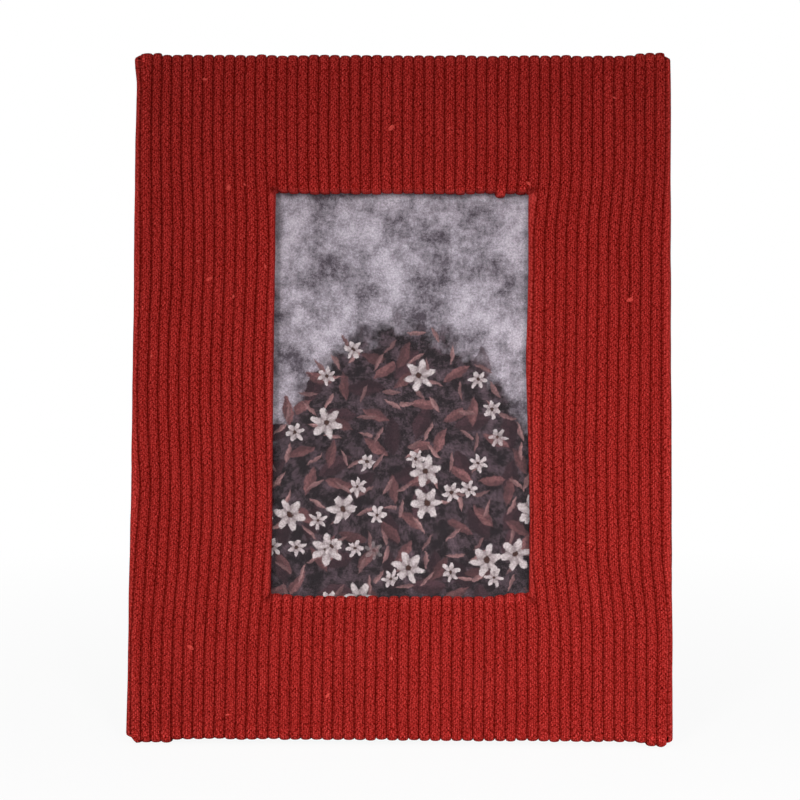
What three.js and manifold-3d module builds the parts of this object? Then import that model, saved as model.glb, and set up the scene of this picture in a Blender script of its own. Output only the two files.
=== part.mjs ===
// A table picture frame wrapped in wide-wale corduroy, standing on its bottom edge and its easel strut.
// Millimetres, +Z up, front towards -Y. The origin is on the table, in the middle of the footprint.
//
// Inside the frame group the frame is upright: x across, y backwards from the front of the rails, and z up
// from the bottom of the cloth. The whole group then leans back by the lean angle.
import * as THREE from 'three';
import { mergeVertices } from 'three/addons/utils/BufferGeometryUtils.js';
import Module from 'manifold-3d';

const wasm = await Module();
wasm.setup();

// Picture, window and border
const photoWidth = 102;
const photoHeight = 152;
const windowLap = 8.5; // how far the covered lip laps over the picture
const borderWidth = 47.5; // from the window to the outer edge, over the cloth

// Corduroy
const walePitch = 3.55;
const waleRise = 0.8; // crests above the grooves between them
const groundCloth = 1.4; // up to the grooves
const pressedHem = 0.9; // where the cloth is glued down on the back
const hemWidth = 14; // turned onto the back of the rails
const hemTrim = 1.2; // the inner hem stops this far short of the rebate wall

// Rails and the sheets in their rebate
const lipDepth = 4;
const rebatePlay = 0.5; // round the sheets, on each side
const glassThickness = 2;
const printThickness = 0.3;
const fillerThickness = 1.2;
const boardThickness = 3;
const boardRound = 2; // corner radius of the backboard
const liningThickness = 1;
const seatGap = 0.3; // clearance between pieces that seat on each other
const overCut = 1; // how far a cut runs past the faces it opens

// V-nails in the mitres
const vnailLeg = 6;
const vnailThickness = 0.8;
const vnailDepth = 7;
const vnailInset = 10; // from the rail's outer edge, and from the rebate wall

// Turn buttons and screws
const buttonReach = 14; // from the screw to the middle of the tip
const buttonRootRadius = 5;
const buttonTipRadius = 3.5;
const buttonThickness = 1;
const buttonSetback = 6.5; // the screw's distance from the rebate wall
const buttonSpacing = 90;
const screwRadius = 1.2;
const screwLength = 9;
const screwPoint = 2; // length of the tapered tip
const screwHeadRadius = 2.8;
const screwHeadHeight = 1.7;
const screwSlotWidth = 0.8;
const screwSlotDepth = 0.8;

// Easel hinge and its rivets
const hingeWidth = 26;
const hingeDrop = 15; // the pin's distance below the top of the backboard
const middleKnuckle = 10.4;
const leafHeight = 12;
const leafThickness = 0.8;
const knuckleWall = 0.8;
const pinRadius = 0.9;
const pinHeadRadius = 1.6;
const pinHeadHeight = 0.5;
const rivetSpacing = 16;
const rivetOffset = 7.5; // from the pin
const rivetRadius = 1.2;
const rivetHeadRadius = 2.2;
const rivetHeadHeight = 1;
const rivetTailRadius = 1.9;
const rivetTailHeight = 0.5;

// Easel strut
const lean = THREE.MathUtils.degToRad(12.5);
const strutOpen = THREE.MathUtils.degToRad(20); // at the stop
const strutThickness = 3;
const strutFootWidth = 58;
const strutFootRound = 6;
const hornWidth = 7; // the stop horns at each side of the hinge
const floorFlat = 0.5; // how far the cloth is pressed flat where the frame stands

// Hanger
const strapSetback = 3.5; // above the rebate wall
const strapWidth = 9;
const strapLength = 13;
const strapThickness = 1.2;
const strapWall = 0.8; // round the ring's bar
const strapScrewDrop = 8; // below the ring's bar
const ringWidth = 16;
const ringReach = 15;
const ringWire = 0.9; // radius

// Facets
const roundSides = 16;
const wireSides = 8;
const domeSteps = 3;
const waleSteps = 4; // across one wale
const shortestStep = 0.2; // of a full step, at the ends of a row of wales

// Sizes that follow from these
const pileCrest = groundCloth + waleRise;
const clothRoom = pileCrest + seatGap; // from a rail to the crests over it
const groundRadius = groundCloth + seatGap;
const windowWidth = photoWidth - 2 * windowLap;
const windowHeight = photoHeight - 2 * windowLap;
const frameWidth = windowWidth + 2 * borderWidth;
const frameHeight = windowHeight + 2 * borderWidth;
const middleHeight = frameHeight / 2;
const coreWidth = frameWidth - 2 * clothRoom;
const coreHeight = frameHeight - 2 * clothRoom;
const rebateWidth = photoWidth + 2 * rebatePlay;
const rebateHeight = photoHeight + 2 * rebatePlay;
const railWidth = borderWidth - 2 * clothRoom;
const ledgeWidth = windowLap + rebatePlay - clothRoom;
const rearRailWidth = railWidth - ledgeWidth;

// Depths from the front of the rails
const clothFront = -clothRoom;
const innerHemFront = lipDepth + seatGap;
const innerHemBack = innerHemFront + pressedHem;
const glassFront = innerHemBack + seatGap;
const printFront = glassFront + glassThickness + seatGap;
const fillerFront = printFront + printThickness + seatGap;
const boardFront = fillerFront + fillerThickness + seatGap;
const rearPlane = boardFront + boardThickness; // back of the backboard and of the lining
const railDepth = rearPlane - liningThickness - seatGap;
const hemFront = railDepth + seatGap;
const hemBack = hemFront + pressedHem;

// Hinge and strut
const knuckleBore = pinRadius + seatGap;
const knuckleRadius = knuckleBore + knuckleWall;
const pinDepth = rearPlane + seatGap + knuckleRadius;
const pinHeight = middleHeight + photoHeight / 2 - hingeDrop;
const pinStandoff = pinDepth - rearPlane;
const notchWidth = hingeWidth + 2 * (pinHeadHeight + 2 * seatGap);
const hornHeight = (pinStandoff - seatGap + seatGap * Math.cos(strutOpen)) / Math.sin(strutOpen);
const strutTilt = strutOpen - lean; // from upright, when the frame stands

// The table is a plane that cuts the cloth's rear bottom edge; heights above it are measured along its normal
const tableLevel = floorFlat - hemBack * Math.sin(lean);
const pinAboveTable = pinHeight * Math.cos(lean) - pinDepth * Math.sin(lean) - tableLevel;

// Hanger
const ringBore = ringWire + seatGap;
const strapLoopRadius = ringBore + strapWall;
const ringDepth = rearPlane + seatGap + strapLoopRadius;
const ringHeight = middleHeight + rebateHeight / 2 + strapSetback + strapLength;

const corduroy = new THREE.MeshStandardMaterial({ color: 0x8e1f1c, roughness: 0.95, metalness: 0 });
const fibreboard = new THREE.MeshStandardMaterial({ color: 0xa9865f, roughness: 0.85, metalness: 0 });
const blackBoard = new THREE.MeshStandardMaterial({ color: 0x242326, roughness: 0.8, metalness: 0 });
const liningCard = new THREE.MeshStandardMaterial({ color: 0x4a4440, roughness: 0.9, metalness: 0 });
const greyCard = new THREE.MeshStandardMaterial({ color: 0xb9b3a8, roughness: 0.9, metalness: 0 });
const printPaper = new THREE.MeshStandardMaterial({ color: 0x968c98, roughness: 0.5, metalness: 0 });
const clearGlass = new THREE.MeshStandardMaterial({ color: 0xe8f0ee, roughness: 0.05, metalness: 0 });
const zincSteel = new THREE.MeshStandardMaterial({ color: 0xb8b9bb, roughness: 0.35, metalness: 1 });
const brassedSteel = new THREE.MeshStandardMaterial({ color: 0xb08d4a, roughness: 0.35, metalness: 1 });

// Solids for joining and cutting
function solidOf(geometry) {
  const bare = geometry.clone();
  bare.deleteAttribute('normal');
  bare.deleteAttribute('uv');
  const merged = mergeVertices(bare, 1e-4);
  const vertProperties = new Float32Array(merged.attributes.position.array);
  const triVerts = new Uint32Array(merged.index.array);
  return new wasm.Manifold(new wasm.Mesh({ numProp: 3, vertProperties, triVerts }));
}

function piece(name, solid, finish) {
  const { vertProperties, triVerts } = solid.getMesh();
  const geometry = new THREE.BufferGeometry();
  geometry.setAttribute('position', new THREE.BufferAttribute(vertProperties, 3));
  geometry.setIndex(new THREE.BufferAttribute(triVerts, 1));
  geometry.computeVertexNormals();
  const mesh = new THREE.Mesh(geometry, finish.clone());
  mesh.name = name;
  return mesh;
}

// A shape drawn in x and z, between two depths
function slab(shape, front, back) {
  const geometry = new THREE.ExtrudeGeometry(shape, {
    depth: back - front, bevelEnabled: false, curveSegments: roundSides / 2,
  });
  return solidOf(geometry.rotateX(Math.PI / 2).translate(0, back, 0));
}

// A shape drawn in y and z, run along x
function runAcross(shape, length) {
  const geometry = new THREE.ExtrudeGeometry(shape, { depth: length, bevelEnabled: false, curveSegments: 1 });
  const turn = new THREE.Matrix4().makeBasis(
    new THREE.Vector3(0, 1, 0), new THREE.Vector3(0, 0, 1), new THREE.Vector3(1, 0, 0),
  );
  return solidOf(geometry.applyMatrix4(turn).translate(-length / 2, 0, 0));
}

function rectangle(width, height, middle = 0) {
  return new THREE.Shape([
    new THREE.Vector2(-width / 2, middle - height / 2),
    new THREE.Vector2(width / 2, middle - height / 2),
    new THREE.Vector2(width / 2, middle + height / 2),
    new THREE.Vector2(-width / 2, middle + height / 2),
  ]);
}

function roundedRectangle(width, height, radius, middle) {
  const right = width / 2 - radius;
  const top = middle + height / 2 - radius;
  const bottom = middle - height / 2 + radius;
  const shape = new THREE.Shape();
  shape.absarc(right, bottom, radius, -Math.PI / 2, 0);
  shape.absarc(right, top, radius, 0, Math.PI / 2);
  shape.absarc(-right, top, radius, Math.PI / 2, Math.PI);
  shape.absarc(-right, bottom, radius, Math.PI, 1.5 * Math.PI);
  return shape;
}

function ring(width, height, holeWidth, holeHeight) {
  const shape = rectangle(width, height, middleHeight);
  shape.holes.push(rectangle(holeWidth, holeHeight, middleHeight));
  return shape;
}

// A round bar along y, between two depths
function roundBar(x, z, radius, front, back) {
  const bar = new THREE.CylinderGeometry(radius, radius, back - front, roundSides);
  return solidOf(bar.translate(x, (front + back) / 2, z));
}

// A round bar along x, about the hinge line of its group
function crossBar(radius, length, middle = 0, sides = roundSides) {
  const bar = new THREE.CylinderGeometry(radius, radius, length, sides);
  return solidOf(bar.rotateZ(Math.PI / 2).translate(middle, 0, 0));
}

// Everything below a plane whose normal leans from +z towards -y
function below(tilt, y, z) {
  const size = 2 * (frameWidth + frameHeight);
  const block = new THREE.BoxGeometry(size, size, size).translate(0, 0, -size / 2);
  return solidOf(block.rotateX(tilt).translate(0, y, z));
}

// Wales: round ridges side by side, with a groove in the middle of the frame
function pileAt(across) {
  const wales = across / walePitch;
  const offCrest = 2 * (wales - Math.floor(wales)) - 1;
  return waleRise * Math.sqrt(1 - offCrest * offCrest);
}

function waleStations(reach) {
  const step = walePitch / waleSteps;
  const count = Math.floor(reach / step - shortestStep);
  const inner = Array.from({ length: 2 * count + 1 }, (_, i) => (i - count) * step);
  return [-reach, ...inner, reach];
}

// The cloth's level section: over the front, round the rails' edges and along the sides
function clothSection() {
  const quarter = groundRadius * Math.PI / 2;
  const points = waleStations(coreWidth / 2 + quarter + railDepth).map((run) => {
    const past = Math.abs(run) - coreWidth / 2;
    const reach = groundRadius + pileAt(run);
    if (past <= 0) return new THREE.Vector2(run, -reach);
    const turn = Math.min(past / groundRadius, Math.PI / 2);
    const x = coreWidth / 2 + reach * Math.sin(turn);
    const y = Math.max(past - quarter, 0) - reach * Math.cos(turn);
    return new THREE.Vector2(Math.sign(run) * x, y);
  });
  const hemCorner = coreWidth / 2 + groundRadius;
  points.push(new THREE.Vector2(hemCorner, hemBack), new THREE.Vector2(-hemCorner, hemBack));
  return new THREE.Shape(points);
}

// An outline in x and z whose top and bottom edges follow the wales; ridge is 1 where they stand out of it
// and -1 where they stand into it
function waleOutline(width, height, ridge) {
  const stations = waleStations(width / 2);
  const edge = (x) => height / 2 - ridge * (waleRise - pileAt(x));
  const top = stations.map((x) => new THREE.Vector2(x, middleHeight + edge(x)));
  const bottom = stations.map((x) => new THREE.Vector2(-x, middleHeight - edge(x)));
  return new THREE.Shape([...bottom, ...top].reverse());
}

// The cloth's upright section: crests rounded over the front edges
function clothProfile() {
  const shape = new THREE.Shape();
  shape.moveTo(hemBack, 0);
  shape.lineTo(hemBack, frameHeight);
  shape.absarc(0, frameHeight - clothRoom, clothRoom, Math.PI / 2, Math.PI);
  shape.absarc(0, clothRoom, clothRoom, Math.PI, 1.5 * Math.PI);
  return shape;
}

function corduroyCover() {
  const section = new THREE.ExtrudeGeometry(clothSection(), { depth: frameHeight, bevelEnabled: false });
  const overWidth = frameWidth + 2 * waleRise;
  const windowCut = slab(waleOutline(windowWidth, windowHeight, -1), clothFront - overCut, glassFront);
  const backOpening = rectangle(frameWidth - 2 * hemWidth, frameHeight - 2 * hemWidth, middleHeight);
  const roomWidth = coreWidth + 2 * seatGap;
  const roomHeight = coreHeight + 2 * seatGap;
  const wallWidth = windowWidth + 2 * pileCrest;
  const wallHeight = windowHeight + 2 * pileCrest;
  const lipRoom = ring(roomWidth, roomHeight, wallWidth, wallHeight);
  const hemRoom = ring(roomWidth, roomHeight, rebateWidth - 2 * hemTrim, rebateHeight - 2 * hemTrim);
  const railRoom = slab(lipRoom, -seatGap, innerHemFront)
    .add(slab(hemRoom, lipDepth, hemFront))
    .add(slab(backOpening, innerHemBack, hemBack + overCut));
  return solidOf(section)
    .intersect(slab(waleOutline(overWidth, frameHeight, 1), clothFront - overCut, hemBack + overCut))
    .intersect(runAcross(clothProfile(), overWidth))
    .subtract(windowCut)
    .subtract(railRoom)
    .subtract(below(lean, hemBack - floorFlat * Math.sin(lean), floorFlat * Math.cos(lean)));
}

// A V-nail seen from the back: two legs from a point on the mitre. Side is 1 at the right end of a rail
function vnailShape(side, x, z, grow) {
  const near = -vnailThickness - grow;
  const far = -vnailLeg - grow;
  const corners = [[grow, grow], [grow, far], [near, far], [near, near], [far, near], [far, grow]];
  const points = corners.map(([a, b]) => new THREE.Vector2(x + side * a, z + b));
  return new THREE.Shape(side > 0 ? points.reverse() : points);
}

const vnailInsets = [vnailInset, rearRailWidth - vnailInset];

// A rail of the given outer length, with its outer edge along z = 0 and screw holes on its back
function mitredRail(length, screwHoles) {
  const section = new THREE.Shape([
    new THREE.Vector2(0, 0),
    new THREE.Vector2(railDepth, 0),
    new THREE.Vector2(railDepth, -rearRailWidth),
    new THREE.Vector2(lipDepth, -rearRailWidth),
    new THREE.Vector2(lipDepth, -railWidth),
    new THREE.Vector2(0, -railWidth),
  ]);
  let rail = runAcross(section, length);
  for (const side of [-1, 1]) {
    const block = new THREE.BoxGeometry(4 * railWidth, 4 * railDepth, 4 * railWidth);
    const setBack = 2 * railWidth - seatGap / 2;
    block.translate(side * setBack, 0, 0).rotateY(side * Math.PI / 4).translate(side * length / 2, 0, 0);
    rail = rail.subtract(solidOf(block));
    for (const inset of vnailInsets) {
      const pocket = vnailShape(side, side * (length / 2 - inset), -inset, seatGap);
      rail = rail.subtract(slab(pocket, railDepth - vnailDepth - seatGap, railDepth + overCut));
    }
  }
  for (const [along, across] of screwHoles) {
    const deep = rearPlane + 2 * seatGap + buttonThickness - screwLength - seatGap;
    rail = rail.subtract(roundBar(along, -across, screwRadius + seatGap, deep, railDepth + overCut));
  }
  return rail;
}

// A pan-head screw along y, with the underside of its head at y = 0 and its point towards the front
function screw() {
  const dome = new THREE.EllipseCurve(0, 0, screwHeadRadius, screwHeadHeight, 0, Math.PI / 2);
  const profile = [
    new THREE.Vector2(0, -screwLength),
    new THREE.Vector2(screwRadius, -screwLength + screwPoint),
    new THREE.Vector2(screwRadius, 0),
    ...dome.getPoints(domeSteps).slice(0, -1),
    new THREE.Vector2(0, screwHeadHeight),
  ];
  const slot = new THREE.BoxGeometry(3 * screwHeadRadius, 2 * screwSlotDepth, screwSlotWidth);
  return solidOf(new THREE.LatheGeometry(profile, roundSides))
    .subtract(solidOf(slot.translate(0, screwHeadHeight, 0)));
}

// A rivet along y through a given grip: domed head behind y = 0, clinched tail in front of the grip
function rivet(grip) {
  const dome = new THREE.EllipseCurve(0, seatGap, rivetHeadRadius, rivetHeadHeight, 0, Math.PI / 2);
  const tail = -grip - seatGap;
  const profile = [
    new THREE.Vector2(0, tail - rivetTailHeight),
    new THREE.Vector2(rivetTailRadius, tail - rivetTailHeight),
    new THREE.Vector2(rivetTailRadius, tail),
    new THREE.Vector2(rivetRadius, tail),
    new THREE.Vector2(rivetRadius, seatGap),
    ...dome.getPoints(domeSteps).slice(0, -1),
    new THREE.Vector2(0, seatGap + rivetHeadHeight),
  ];
  return solidOf(new THREE.LatheGeometry(profile, roundSides));
}

// A pear-shaped turn button about its screw, pointing along -x
function turnButton() {
  const slope = Math.acos((buttonRootRadius - buttonTipRadius) / buttonReach);
  const shape = new THREE.Shape();
  shape.absarc(0, 0, buttonRootRadius, Math.PI + slope, Math.PI - slope + 2 * Math.PI);
  shape.absarc(-buttonReach, 0, buttonTipRadius, Math.PI - slope, Math.PI + slope);
  const hole = new THREE.Path();
  hole.absarc(0, 0, screwRadius + seatGap, 0, 2 * Math.PI);
  shape.holes.push(hole);
  return slab(shape, 0, buttonThickness);
}

function rearLining(screwPlaces) {
  const shape = ring(
    frameWidth - 2 * (hemWidth + seatGap), frameHeight - 2 * (hemWidth + seatGap), rebateWidth, rebateHeight,
  );
  for (const [x, z] of screwPlaces) {
    const hole = new THREE.Path();
    hole.absarc(x, z, screwRadius + seatGap, 0, 2 * Math.PI);
    shape.holes.push(hole);
  }
  return slab(shape, railDepth + seatGap, rearPlane);
}

function sheet(thickness, front) {
  return slab(rectangle(photoWidth, photoHeight, middleHeight), front, front + thickness);
}

const rivetSides = [-rivetSpacing / 2, rivetSpacing / 2];

function backboard() {
  const outline = roundedRectangle(photoWidth, photoHeight, boardRound, middleHeight);
  let board = slab(outline, boardFront, rearPlane);
  for (const x of rivetSides) {
    const z = pinHeight + rivetOffset;
    const sink = boardFront + rivetTailHeight + 2 * seatGap;
    board = board
      .subtract(roundBar(x, z, rivetRadius + seatGap, boardFront - overCut, rearPlane + overCut))
      .subtract(roundBar(x, z, rivetTailRadius + seatGap, boardFront - overCut, sink));
  }
  return board;
}

// One hinge leaf about the pin: a plate from a neck at its knuckles, with rivet holes. Up is 1 or -1
function hingeLeaf(up, front, knuckles) {
  const plateStart = knuckleRadius + 2 * seatGap;
  const plate = rectangle(hingeWidth, leafHeight - plateStart, up * (leafHeight + plateStart) / 2);
  let leaf = slab(plate, front, front + leafThickness);
  for (const [middle, length] of knuckles) {
    const neck = new THREE.BoxGeometry(length, leafThickness, 2 * plateStart);
    neck.translate(middle, front + leafThickness / 2, up * plateStart);
    leaf = leaf.add(solidOf(neck)).add(crossBar(knuckleRadius, length, middle));
  }
  leaf = leaf.subtract(crossBar(knuckleBore, 2 * hingeWidth));
  for (const x of rivetSides) {
    const holeBack = front + leafThickness + overCut;
    leaf = leaf.subtract(roundBar(x, up * rivetOffset, rivetRadius + seatGap, front - overCut, holeBack));
  }
  return leaf;
}

function hingePin() {
  const reach = hingeWidth / 2 + seatGap;
  const headMiddle = reach + pinHeadHeight / 2;
  return crossBar(pinRadius, 2 * reach)
    .add(crossBar(pinHeadRadius, pinHeadHeight, headMiddle))
    .add(crossBar(pinHeadRadius, pinHeadHeight, -headMiddle));
}

// The strut about the pin, hanging down: stop horns beside the hinge, and a foot cut to the table
function easelStrut() {
  const front = seatGap;
  const back = front + strutThickness;
  const foot = -(pinAboveTable + back * Math.sin(strutTilt)) / Math.cos(strutTilt);
  const notchFloor = -knuckleRadius - 2 * seatGap;
  const top = notchWidth / 2 + hornWidth;
  const shape = new THREE.Shape();
  shape.moveTo(notchWidth / 2, notchFloor);
  shape.lineTo(notchWidth / 2, hornHeight);
  shape.lineTo(top, hornHeight);
  shape.lineTo(strutFootWidth / 2, foot + strutFootRound);
  shape.quadraticCurveTo(strutFootWidth / 2, foot, strutFootWidth / 2 - strutFootRound, foot);
  shape.lineTo(strutFootRound - strutFootWidth / 2, foot);
  shape.quadraticCurveTo(-strutFootWidth / 2, foot, -strutFootWidth / 2, foot + strutFootRound);
  shape.lineTo(-top, hornHeight);
  shape.lineTo(-notchWidth / 2, hornHeight);
  shape.lineTo(-notchWidth / 2, notchFloor);
  let strut = slab(shape, front, back);
  for (const x of rivetSides) {
    const hole = roundBar(x, -rivetOffset, rivetRadius + seatGap, front - overCut, back + overCut);
    strut = strut.subtract(hole);
  }
  const tableY = -pinAboveTable * Math.sin(strutTilt);
  const tableZ = -pinAboveTable * Math.cos(strutTilt);
  return strut.subtract(below(-strutTilt, tableY, tableZ));
}

// The strap about the ring's bar: a loop at the top and a round-ended plate below it
function hangerStrap() {
  const half = strapWidth / 2;
  const shape = new THREE.Shape();
  shape.moveTo(half, 0);
  shape.lineTo(-half, 0);
  shape.absarc(0, half - strapLength, half, Math.PI, 2 * Math.PI);
  const hole = new THREE.Path();
  hole.absarc(0, -strapScrewDrop, screwRadius + seatGap, 0, 2 * Math.PI);
  shape.holes.push(hole);
  return slab(shape, -strapLoopRadius, strapThickness - strapLoopRadius)
    .add(crossBar(strapLoopRadius, strapWidth))
    .subtract(crossBar(ringBore, 2 * strapWidth));
}

// A half-ellipse hanging from the bar, as the bow of the D-ring
class RingBow extends THREE.Curve {
  getPoint(t, target = new THREE.Vector3()) {
    const turn = Math.PI * t;
    return target.set(Math.cos(turn) * ringWidth / 2, 0, -Math.sin(turn) * ringReach);
  }
}

function hangerRing() {
  const wire = new THREE.Shape();
  wire.absarc(0, 0, ringWire, 0, 2 * Math.PI);
  const bow = new THREE.ExtrudeGeometry(wire, {
    steps: roundSides, extrudePath: new RingBow(), bevelEnabled: false, curveSegments: wireSides / 2,
  });
  let wireRing = solidOf(bow).add(crossBar(ringWire, ringWidth, 0, wireSides));
  for (const x of [-ringWidth / 2, ringWidth / 2]) {
    const bend = new THREE.SphereGeometry(ringWire, wireSides, wireSides).translate(x, 0, 0);
    wireRing = wireRing.add(solidOf(bend));
  }
  return wireRing;
}

const frame = new THREE.Group();
frame.rotation.x = -lean;

// Cloth, rails and V-nails
frame.add(piece('corduroy_cover', corduroyCover(), corduroy));

const buttonOffset = rebateWidth / 2 + buttonSetback;
const buttonAcross = coreWidth / 2 - buttonOffset;
const strapScrewHeight = ringHeight - strapScrewDrop;
const buttonHoles = [[-buttonSpacing / 2, buttonAcross], [buttonSpacing / 2, buttonAcross]];
const strapHole = [[0, middleHeight + coreHeight / 2 - strapScrewHeight]];
const rails = [
  ['top_rail', coreWidth, strapHole, 0, 0, 1],
  ['bottom_rail', coreWidth, [], Math.PI, 0, -1],
  ['left_rail', coreHeight, buttonHoles, -Math.PI / 2, -1, 0],
  ['right_rail', coreHeight, buttonHoles, Math.PI / 2, 1, 0],
];
for (const [name, length, holes, turn, side, up] of rails) {
  const rail = piece(name, mitredRail(length, holes), fibreboard);
  rail.rotation.y = turn;
  rail.position.set(side * coreWidth / 2, 0, middleHeight + up * coreHeight / 2);
  frame.add(rail);
}

let vnailCount = 0;
for (const up of [1, -1]) {
  for (const side of [-1, 1]) {
    for (const inset of vnailInsets) {
      vnailCount += 1;
      const nail = slab(vnailShape(side * up, 0, 0, 0), railDepth - vnailDepth, railDepth);
      const vnail = piece(`corner_vnail_${vnailCount}`, nail, zincSteel);
      vnail.rotation.y = up > 0 ? 0 : Math.PI;
      vnail.position.set(side * (coreWidth / 2 - inset), 0, middleHeight + up * (coreHeight / 2 - inset));
      frame.add(vnail);
    }
  }
}

// Sheets in the rebate, and the lining round it
const buttonPlaces = [];
for (const side of [-1, 1]) {
  for (const up of [1, -1]) {
    buttonPlaces.push([side * buttonOffset, middleHeight + up * buttonSpacing / 2]);
  }
}
frame.add(
  piece('glass_pane', sheet(glassThickness, glassFront), clearGlass),
  piece('photo_print', sheet(printThickness, printFront), printPaper),
  piece('filler_card', sheet(fillerThickness, fillerFront), greyCard),
  piece('backboard', backboard(), blackBoard),
  piece('rear_lining', rearLining([...buttonPlaces, [0, strapScrewHeight]]), liningCard),
);

// Turn buttons, each pointing inwards over the backboard
buttonPlaces.forEach(([x, z], index) => {
  const button = piece(`turn_button_${index + 1}`, turnButton(), brassedSteel);
  button.position.set(x, rearPlane + seatGap, z);
  button.rotation.y = x > 0 ? 0 : Math.PI;
  const buttonScrew = piece(`turn_button_screw_${index + 1}`, screw(), zincSteel);
  buttonScrew.position.set(x, rearPlane + 2 * seatGap + buttonThickness, z);
  frame.add(button, buttonScrew);
});

// Easel hinge: the board's leaf and pin stay with the frame, the strut's leaf swings with the strut
const hinge = new THREE.Group();
hinge.position.set(0, pinDepth, pinHeight);
const sideKnuckle = (hingeWidth - middleKnuckle) / 2 - seatGap;
const sideMiddle = (hingeWidth - sideKnuckle) / 2;
const boardKnuckles = [[-sideMiddle, sideKnuckle], [sideMiddle, sideKnuckle]];
hinge.add(
  piece('board_leaf', hingeLeaf(1, -knuckleRadius, boardKnuckles), zincSteel),
  piece('hinge_pin', hingePin(), zincSteel),
);
const strutSwing = new THREE.Group();
strutSwing.rotation.x = strutOpen;
strutSwing.add(
  piece('easel_strut', easelStrut(), blackBoard),
  piece('strut_leaf', hingeLeaf(-1, -leafThickness, [[0, middleKnuckle]]), zincSteel),
);
const boardGrip = leafThickness + seatGap + boardThickness - rivetTailHeight - 2 * seatGap;
const strutGrip = strutThickness + seatGap + leafThickness;
rivetSides.forEach((x, index) => {
  const boardRivet = piece(`board_rivet_${index + 1}`, rivet(boardGrip), zincSteel);
  boardRivet.position.set(x, leafThickness - knuckleRadius, rivetOffset);
  hinge.add(boardRivet);
  const strutRivet = piece(`strut_rivet_${index + 1}`, rivet(strutGrip), zincSteel);
  strutRivet.position.set(x, seatGap + strutThickness, -rivetOffset);
  strutSwing.add(strutRivet);
});
hinge.add(strutSwing);
frame.add(hinge);

// Hanger: the ring hangs plumb in its strap
const hanger = new THREE.Group();
hanger.position.set(0, ringDepth, ringHeight);
const ringMesh = piece('hanger_ring', hangerRing(), zincSteel);
ringMesh.rotation.x = lean;
const strapScrew = piece('hanger_screw', screw(), zincSteel);
strapScrew.position.set(0, strapThickness - strapLoopRadius + seatGap, -strapScrewDrop);
hanger.add(piece('hanger_strap', hangerStrap(), zincSteel), ringMesh, strapScrew);
frame.add(hanger);

// Set the leaning frame down on the table, with the origin in the middle of its footprint
const part = new THREE.Group();
part.add(frame);
const bounds = new THREE.Box3().setFromObject(part, true);
frame.position.set(0, -(bounds.min.y + bounds.max.y) / 2, -tableLevel);

export default part;
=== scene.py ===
import math

import bmesh
import bpy
from mathutils import Matrix, Quaternion, Vector, noise


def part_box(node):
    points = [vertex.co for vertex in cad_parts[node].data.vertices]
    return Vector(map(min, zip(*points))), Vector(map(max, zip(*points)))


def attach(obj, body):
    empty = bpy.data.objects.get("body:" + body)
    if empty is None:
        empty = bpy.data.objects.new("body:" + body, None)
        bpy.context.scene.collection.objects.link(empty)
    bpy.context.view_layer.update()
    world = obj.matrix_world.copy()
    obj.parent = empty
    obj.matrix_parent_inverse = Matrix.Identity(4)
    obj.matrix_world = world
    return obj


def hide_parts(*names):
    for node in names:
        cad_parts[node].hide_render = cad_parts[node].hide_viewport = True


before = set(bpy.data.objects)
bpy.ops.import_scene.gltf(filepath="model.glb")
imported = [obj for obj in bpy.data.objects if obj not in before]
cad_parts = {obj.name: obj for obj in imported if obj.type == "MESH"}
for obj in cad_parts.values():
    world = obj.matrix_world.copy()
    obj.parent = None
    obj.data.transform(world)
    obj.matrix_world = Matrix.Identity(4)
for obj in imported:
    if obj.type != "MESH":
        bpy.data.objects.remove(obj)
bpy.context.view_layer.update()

# Rails and V-nails
# Four mitred rails of raw medium-density fibreboard, stapled at the back of each mitre with zinc V-nails.
# The cloth, the lining and the backboard hide nearly all of them.


def add_node(tree, kind, inputs=None, **options):
    node = tree.nodes.new(kind)
    for name, value in options.items():
        setattr(node, name, value)
    for socket, value in (inputs or {}).items():
        if isinstance(value, bpy.types.NodeSocket):
            tree.links.new(value, node.inputs[socket])
        else:
            node.inputs[socket].default_value = value
    return node


def mix_colours(tree, factor, first, second, blend="MIX"):
    sockets = {0: factor, 6: first, 7: second}
    mix = add_node(tree, "ShaderNodeMix", sockets, data_type="RGBA", blend_type=blend)
    return mix.outputs[2]


def spread(tree, value, low, high, to_low=0.0, to_high=1.0):
    inputs = {"Value": value, "From Min": low, "From Max": high, "To Min": to_low, "To Max": to_high}
    return add_node(tree, "ShaderNodeMapRange", inputs).outputs["Result"]


def sums(tree, operation, first, second):
    return add_node(tree, "ShaderNodeMath", {0: first, 1: second}, operation=operation).outputs[0]


def new_finish(name, **sockets):
    material = bpy.data.materials.new(name)
    material.use_nodes = True
    shader = material.node_tree.nodes["Principled BSDF"]
    for socket, value in sockets.items():
        shader.inputs[socket.replace("_", " ")].default_value = value
    return material, material.node_tree, shader


def finish_nodes(material, *names):
    for name in names:
        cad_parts[name].data.materials.clear()
        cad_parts[name].data.materials.append(material)


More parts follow.
